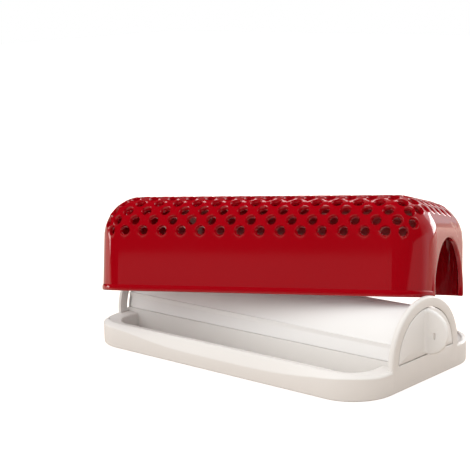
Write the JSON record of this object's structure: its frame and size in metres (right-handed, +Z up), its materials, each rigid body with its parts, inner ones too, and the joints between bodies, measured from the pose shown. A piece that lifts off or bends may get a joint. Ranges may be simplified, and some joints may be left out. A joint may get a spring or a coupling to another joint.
{
  "type": "microwave hot dog cooker",
  "caption": "Countertop cooker: white water tray with arched ends, a removable arched hood, a perforated drawer with a half-round grip, and a loose red perforated cover.",
  "frame": {"origin": "on the table, under the middle of the tray", "axes": "+X along the cooker, +Y from its front to its back, +Z up"},
  "size_m": [0.2522, 0.1682, 0.1011],
  "materials": {
    "tray_white": "satin",
    "hood_white": "satin",
    "drawer_white": "satin",
    "cover_red": "gloss"
  },
  "bodies": {
    "tray": {"base_tray": "tray_white"},
    "hood": {"chamber_hood": "hood_white"},
    "drawer": {"sausage_drawer": "drawer_white"},
    "cover": {"cover_shell": "cover_red"}
  },
  "joints": [
    {"name": "drawer_slide", "type": "slide", "parent": "tray", "child": "drawer", "axis": [1, 0, 0], "range_m": [0, 0.16]},
    {"name": "hood_lift", "type": "slide", "parent": "tray", "child": "hood", "axis": [0, 0, 1], "range_m": [0, 0.06]},
    {"name": "cover_lift", "type": "slide", "parent": "tray", "child": "cover", "axis": [0, 0, 1], "range_m": [0, 0.12]}
  ],
  "couplings": [
    {"joint": "hood_lift", "follows": "cover_lift", "ratio": 0.5}
  ]
}
